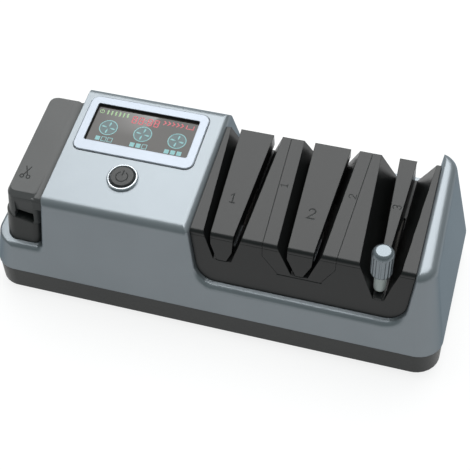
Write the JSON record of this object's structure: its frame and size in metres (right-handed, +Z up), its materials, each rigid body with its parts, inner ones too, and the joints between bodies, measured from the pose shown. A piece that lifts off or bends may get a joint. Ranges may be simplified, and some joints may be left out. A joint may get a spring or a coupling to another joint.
{
  "type": "electric knife sharpener",
  "caption": "Countertop electric knife sharpener with sloping silver console, display and power button, black grinding and polishing slots, fluted knob and a side scissor slot.",
  "frame": {"origin": "middle of the underside, on the plane that the feet stand on", "axes": "+X to the right seen from the front, along the body; +Y to the back; +Z up"},
  "size_m": [0.293, 0.122, 0.0916],
  "materials": {
    "silver": "satin metallic paint",
    "silver_trim": "satin metallic paint",
    "button_ring": "bright",
    "base_plastic": "fine texture",
    "rubber": "matte",
    "glass": "clear smoked",
    "dark_parts": "moulded",
    "circuit_board": "solder mask",
    "screw_steel": "plated",
    "button_black": "soft touch",
    "scissor_black": "fine texture",
    "scissor_grey": "fine texture",
    "ceramic": "ceramic",
    "module_plastic": "fine texture",
    "spring_steel": "rolled",
    "motor_steel": "plated",
    "magnet": "sintered",
    "inner_plastic": "moulded",
    "bronze": "sintered",
    "shaft_steel": "ground",
    "coarse_grit": "coarse abrasive coating",
    "fine_grit": "fine abrasive coating",
    "polish_disc": "flexible abrasive",
    "brass": "bright",
    "knob_metal": "satin metallic",
    "knob_stem": "satin",
    "gear_plastic": "moulded",
    "dresser_stone": "abrasive"
  },
  "bodies": {
    "housing": {"base_tray": "base_plastic", "rubber_feet": "rubber", "upper_housing": "silver", "display_frame": "silver_trim", "display_lens": "glass", "display_panel": "dark_parts", "control_board": "circuit_board", "board_screws": "screw_steel", "tact_switch": "dark_parts", "button_ring": "button_ring", "scissor_base": "scissor_black", "scissor_cap": "scissor_grey", "scissor_rods": "ceramic", "module_frame": "module_plastic", "stage_2_cassette": "module_plastic", "guide_block_1": "module_plastic", "guide_block_2": "module_plastic", "polish_guide": "module_plastic", "blade_springs_1": "spring_steel", "blade_springs_2": "spring_steel", "polish_springs": "spring_steel", "motor_can": "motor_steel", "motor_front_cap": "motor_steel", "motor_rear_cap": "motor_steel", "motor_magnets": "magnet", "motor_cradle": "inner_plastic", "motor_strap": "motor_steel", "strap_screws": "screw_steel", "bearing_blocks": "inner_plastic", "left_bushing": "bronze", "right_bushing": "bronze", "bearing_screws": "screw_steel", "power_inlet": "dark_parts", "inlet_pins": "brass", "dresser_guide": "inner_plastic", "base_screws": "screw_steel", "cleanout_cover": "base_plastic", "dust_magnet": "screw_steel"},
    "button": {"power_button": "button_black"},
    "spindle": {"rotor": "motor_steel", "cooling_fan": "dark_parts", "shaft_coupling": "dark_parts", "main_shaft": "shaft_steel", "coarse_disc_left": "coarse_grit", "coarse_disc_right": "coarse_grit", "fine_disc_left": "fine_grit", "fine_disc_right": "fine_grit", "polish_disc_left": "polish_disc", "polish_disc_right": "polish_disc", "disc_spacers": "shaft_steel", "shaft_collars": "shaft_steel"},
    "knob": {"knob_cap": "knob_metal", "knob_stem": "knob_stem", "knob_pinion": "gear_plastic"},
    "dresser": {"dresser_rack": "gear_plastic", "dresser_pad": "dresser_stone"}
  },
  "joints": [
    {"name": "button_press", "type": "slide", "parent": "housing", "child": "button", "axis": [0, -0.1392, 0.9903], "range_m": [-0.0012, 0], "stiffness_N_per_m": 500},
    {"name": "spindle_spin", "type": "hinge", "parent": "housing", "child": "spindle", "pos_m": [0, -0.0058, 0.042], "axis": [1, 0, 0], "continuous": true},
    {"name": "knob_turn", "type": "hinge", "parent": "housing", "child": "knob", "pos_m": [0.1042, -0.0444, 0.07], "axis": [0, 0, 1], "range_deg": [0, 50]},
    {"name": "dresser_slide", "type": "slide", "parent": "housing", "child": "dresser", "axis": [0, 1, 0], "range_m": [0, 0.0028]}
  ],
  "couplings": [
    {"joint": "dresser_slide", "follows": "knob_turn", "m_per_rad": 0.0032}
  ]
}
